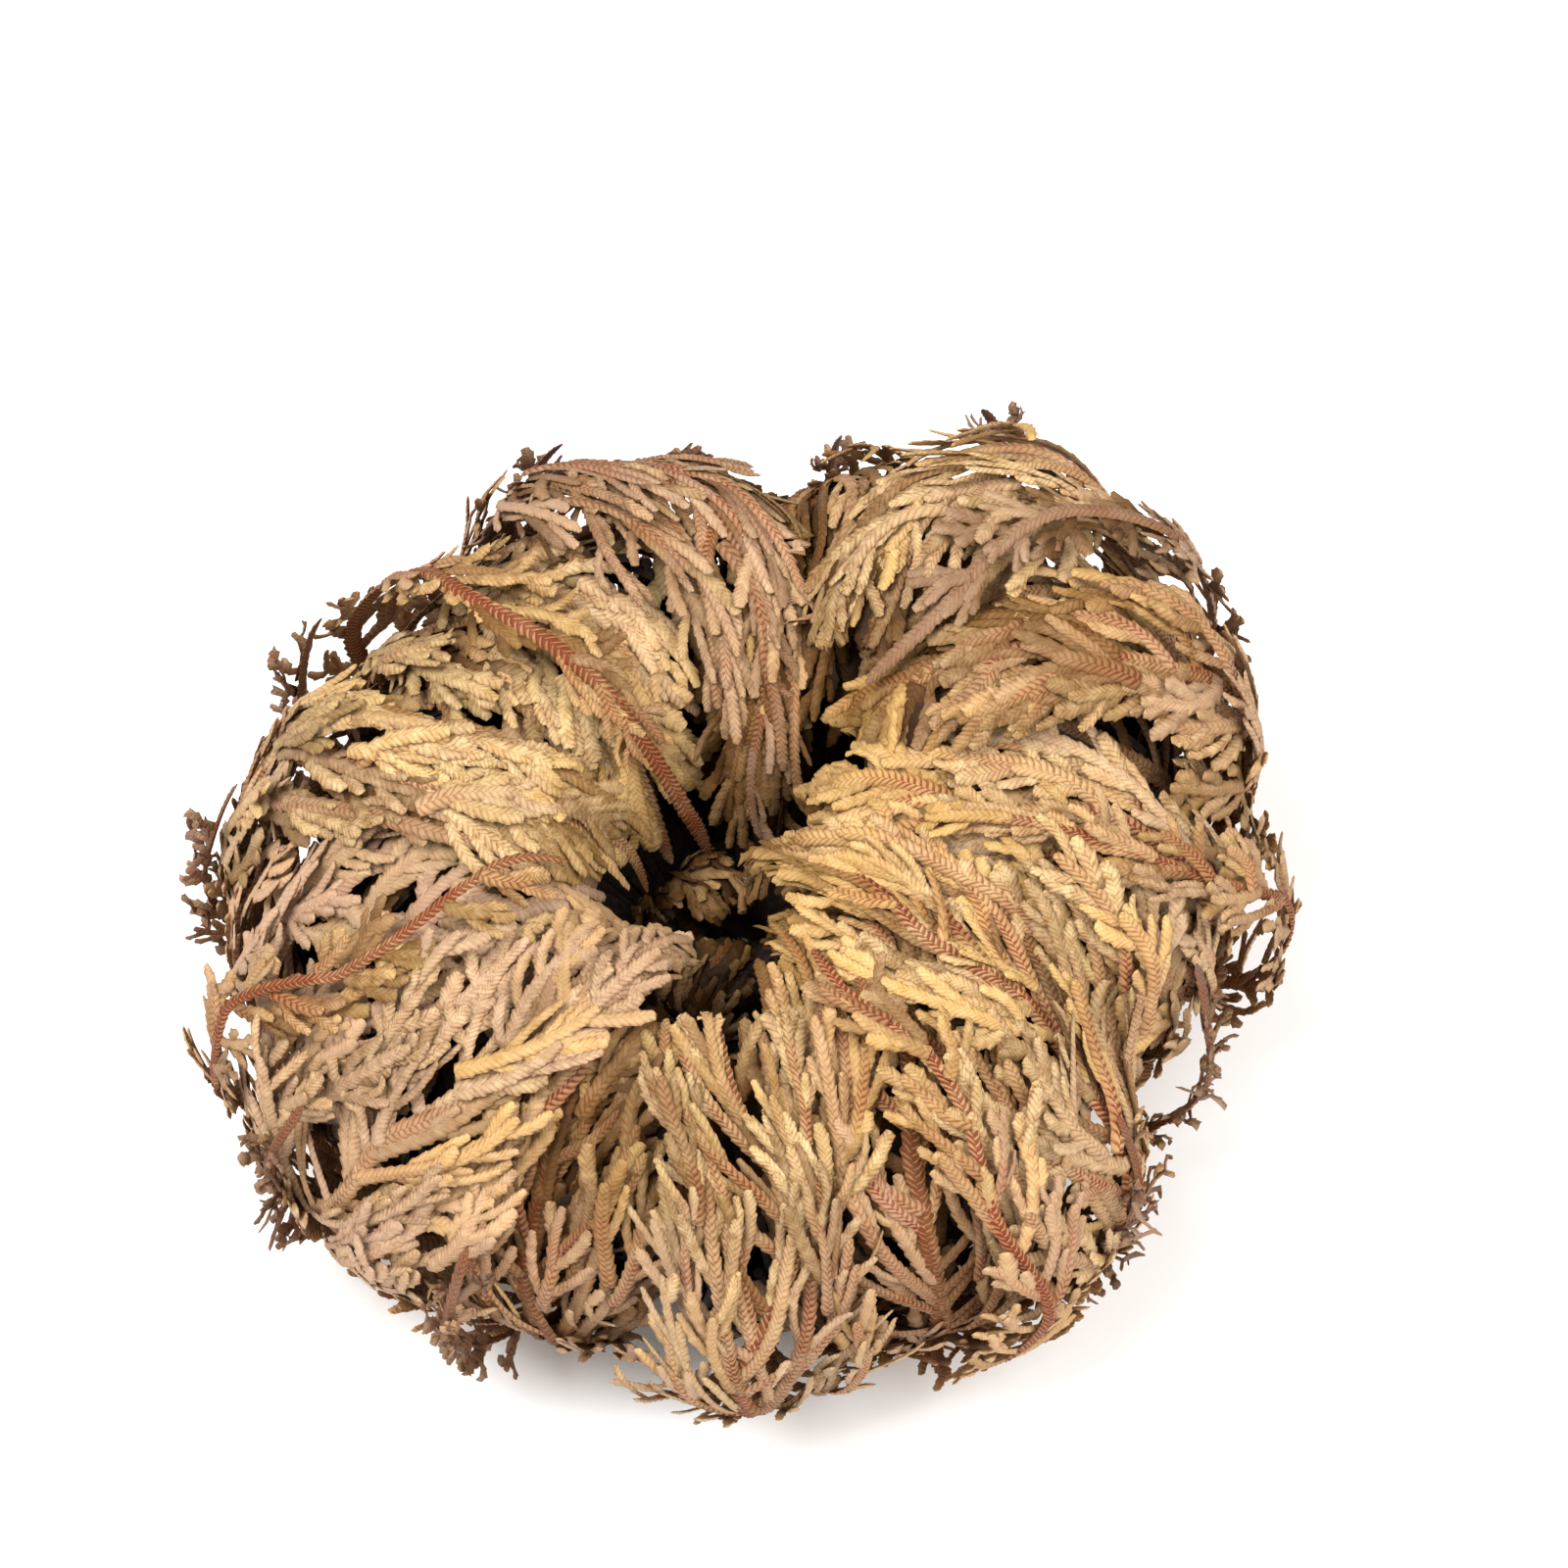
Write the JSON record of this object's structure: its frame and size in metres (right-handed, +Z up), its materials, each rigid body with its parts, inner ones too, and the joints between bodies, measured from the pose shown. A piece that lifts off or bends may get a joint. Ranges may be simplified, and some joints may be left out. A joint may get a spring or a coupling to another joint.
{
  "type": "rose of jericho",
  "caption": "Dry resurrection plant: scaly branching fronds curled up and over from a short rootstock into a hollow-centred ball, resting on its flat underside.",
  "frame": {"origin": "middle of the small flat spot under the rootstock, on which the ball rests", "axes": "+Z up, out of the hollow; +X to the right and -Y to the front as the ball is seen from its lower side"},
  "size_m": [0.0965, 0.0874, 0.0571],
  "materials": {
    "straw": "dry matt straw-coloured scaly frond",
    "russet": "dry matt red-brown scaly frond",
    "mauve": "dry matt greyish mauve-brown scaly frond",
    "dead": "dry matt dark brown dead frond",
    "root": "rough dark brown woody root"
  },
  "bodies": {
    "root": {"rootstock": "root", "over_frond_1": "mauve", "over_frond_2": "straw", "over_frond_3": "straw", "over_frond_4": "russet", "over_frond_5": "straw", "over_frond_6": "mauve", "over_frond_7": "straw", "under_frond_1": "mauve", "under_frond_2": "russet", "under_frond_3": "russet", "under_frond_4": "straw", "under_frond_5": "straw", "under_frond_6": "russet", "under_frond_7": "straw", "mid_frond_1": "straw", "mid_frond_2": "straw", "mid_frond_3": "russet", "mid_frond_4": "straw", "mid_frond_5": "straw", "mid_frond_6": "russet", "mid_frond_7": "straw", "mid_frond_8": "russet", "inner_frond_1": "russet", "inner_frond_2": "straw", "inner_frond_3": "russet", "inner_frond_4": "straw", "inner_frond_5": "russet", "heart_frond_1": "russet", "heart_frond_2": "russet", "heart_frond_3": "russet", "heart_frond_4": "russet", "rider_frond_1": "russet", "rider_frond_2": "russet", "rider_frond_3": "russet", "rider_frond_4": "mauve", "rider_frond_5": "russet", "dead_frond_1": "dead", "dead_frond_2": "dead", "dead_frond_3": "dead", "dead_frond_4": "dead", "dead_frond_5": "dead", "dead_frond_6": "dead", "dead_frond_7": "dead", "dead_frond_8": "dead", "dead_frond_9": "dead"}
  },
  "joints": []
}
